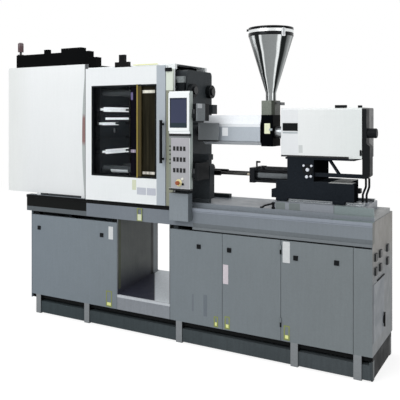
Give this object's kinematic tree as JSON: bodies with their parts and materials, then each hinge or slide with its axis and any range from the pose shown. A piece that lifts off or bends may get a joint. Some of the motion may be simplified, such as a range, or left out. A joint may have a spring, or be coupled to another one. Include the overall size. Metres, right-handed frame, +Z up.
{
  "type": "injection moulding machine",
  "caption": "Horizontal injection moulding machine with a gray cabinet base, white guards, sliding safety door, control panel, granule hopper and a sliding injection unit.",
  "frame": {"origin": "middle of the overall box, on the floor", "axes": "+X along the machine from the clamping unit to the injection unit, +Y from the operator side to the back, +Z up"},
  "size_m": [3.101, 0.705, 2.24],
  "materials": {
    "gray_paint": "semi-gloss powder coat",
    "deck_steel": "satin paint",
    "foot_paint": "semi-gloss paint",
    "dark_paint": "satin paint",
    "chute_paint": "semi-gloss paint",
    "white_paint": "semi-gloss powder coat",
    "black_paint": "satin paint",
    "platen_iron": "painted casting with machined faces",
    "bright_steel": "ground steel",
    "hard_chrome": "polished",
    "stainless": "brushed sheet",
    "cover_gray": "semi-gloss powder coat",
    "clear_window": "clear",
    "tinted_window": "brown tinted",
    "black_plastic": "fine grain",
    "keypad_film": "satin film",
    "screen_glass": "glossy",
    "red_plastic": "glossy",
    "beacon_red": "glossy",
    "cable_rubber": "smooth",
    "mica_band": "rolled sheet"
  },
  "bodies": {
    "root": {"long_beams": "gray_paint", "left_front_panel": "gray_paint", "middle_front_panel": "gray_paint", "right_front_panel": "gray_paint", "end_panel": "gray_paint", "back_panels": "gray_paint", "junction_box": "gray_paint", "cross_beams": "gray_paint", "base_posts": "gray_paint", "bed_deck": "deck_steel", "slide_base": "deck_steel", "levelling_feet": "foot_paint", "floor_tray": "dark_paint", "oil_tank": "dark_paint", "pump_unit": "dark_paint", "parts_chute": "chute_paint", "left_cover": "white_paint", "guard_frame": "white_paint", "service_duct": "black_paint", "platen_manifold": "black_paint", "hmi_bracket": "black_paint", "fixed_platen": "platen_iron", "clamp_cylinder": "platen_iron", "clamp_ways": "bright_steel", "carriage_guides": "bright_steel", "tie_bar_nuts": "bright_steel", "tie_bars": "hard_chrome", "nozzle_rods": "hard_chrome", "panel_locks": "black_plastic", "beacon": "beacon_red"},
    "moving_platen": {"moving_platen": "platen_iron", "clamp_ram": "hard_chrome"},
    "ejector": {"ejector": "bright_steel"},
    "safety_door": {"safety_door": "white_paint", "door_window": "clear_window", "door_handle": "black_plastic"},
    "rear_door": {"rear_door": "white_paint", "rear_door_window": "tinted_window"},
    "cabinet_door": {"cabinet_door": "gray_paint"},
    "door_latch": {"door_latch": "black_plastic"},
    "hmi_head": {"hmi_head": "white_paint", "hmi_screen": "screen_glass", "keypad": "keypad_film"},
    "emergency_stop": {"emergency_stop": "red_plastic"},
    "carriage": {"carriage": "black_paint", "barrel": "bright_steel", "heater_bands": "mica_band", "barrel_cover": "cover_gray", "throat_block": "black_paint", "hopper": "stainless", "injection_cover": "white_paint", "drive_end_plate": "black_paint", "nozzle_cylinders": "black_paint", "drive_cables": "cable_rubber"},
    "screw_drive": {"screw_drive": "black_paint"},
    "screw": {"screw": "bright_steel"},
    "hopper_lid": {"hopper_lid": "stainless"},
    "slide_gate": {"slide_gate": "bright_steel"},
    "purge_guard": {"purge_guard": "cover_gray"},
    "main_switch": {"main_switch": "black_plastic"}
  },
  "joints": [
    {"name": "clamp_stroke", "type": "slide", "parent": "root", "child": "moving_platen", "axis": [1, 0, 0], "range_m": [0, 0.42]},
    {"name": "ejector_stroke", "type": "slide", "parent": "moving_platen", "child": "ejector", "axis": [1, 0, 0], "range_m": [0, 0.06]},
    {"name": "safety_door_slide", "type": "slide", "parent": "root", "child": "safety_door", "axis": [-1, 0, 0], "range_m": [0, 0.7]},
    {"name": "rear_door_slide", "type": "slide", "parent": "root", "child": "rear_door", "axis": [-1, 0, 0], "range_m": [0, 0.7]},
    {"name": "cabinet_door_hinge", "type": "hinge", "parent": "root", "child": "cabinet_door", "pos_m": [0.948, -0.2085, 0.48], "axis": [0, 0, 1], "range_deg": [0, 110]},
    {"name": "door_latch_turn", "type": "hinge", "parent": "cabinet_door", "child": "door_latch", "pos_m": [0.5735, -0.2035, 0.7], "axis": [0, 1, 0], "range_deg": [0, 90]},
    {"name": "hmi_swing", "type": "hinge", "parent": "root", "child": "hmi_head", "pos_m": [0.3455, -0.2885, 1.4], "axis": [0, 0, 1], "range_deg": [0, 60]},
    {"name": "emergency_stop_press", "type": "slide", "parent": "hmi_head", "child": "emergency_stop", "axis": [0, 1, 0], "range_m": [0, 0.005]},
    {"name": "carriage_slide", "type": "slide", "parent": "root", "child": "carriage", "axis": [1, 0, 0], "range_m": [0, 0.12]},
    {"name": "screw_stroke", "type": "slide", "parent": "carriage", "child": "screw_drive", "axis": [1, 0, 0], "range_m": [0, 0.1]},
    {"name": "screw_spin", "type": "hinge", "parent": "screw_drive", "child": "screw", "pos_m": [0.7675, 0.0625, 1.5], "axis": [1, 0, 0], "continuous": true},
    {"name": "hopper_lid_hinge", "type": "hinge", "parent": "carriage", "child": "hopper_lid", "pos_m": [0.6015, 0.0625, 2.2263], "axis": [0, -1, 0], "range_deg": [0, 100]},
    {"name": "slide_gate_pull", "type": "slide", "parent": "carriage", "child": "slide_gate", "axis": [1, 0, 0], "range_m": [0, 0.07]},
    {"name": "purge_guard_hinge", "type": "hinge", "parent": "root", "child": "purge_guard", "pos_m": [0.335, -0.0585, 1.557], "axis": [-1, 0, 0], "range_deg": [0, 80]},
    {"name": "main_switch_turn", "type": "hinge", "parent": "root", "child": "main_switch", "pos_m": [1.5385, 0.0875, 0.305], "axis": [1, 0, 0], "range_deg": [0, 90]}
  ]
}
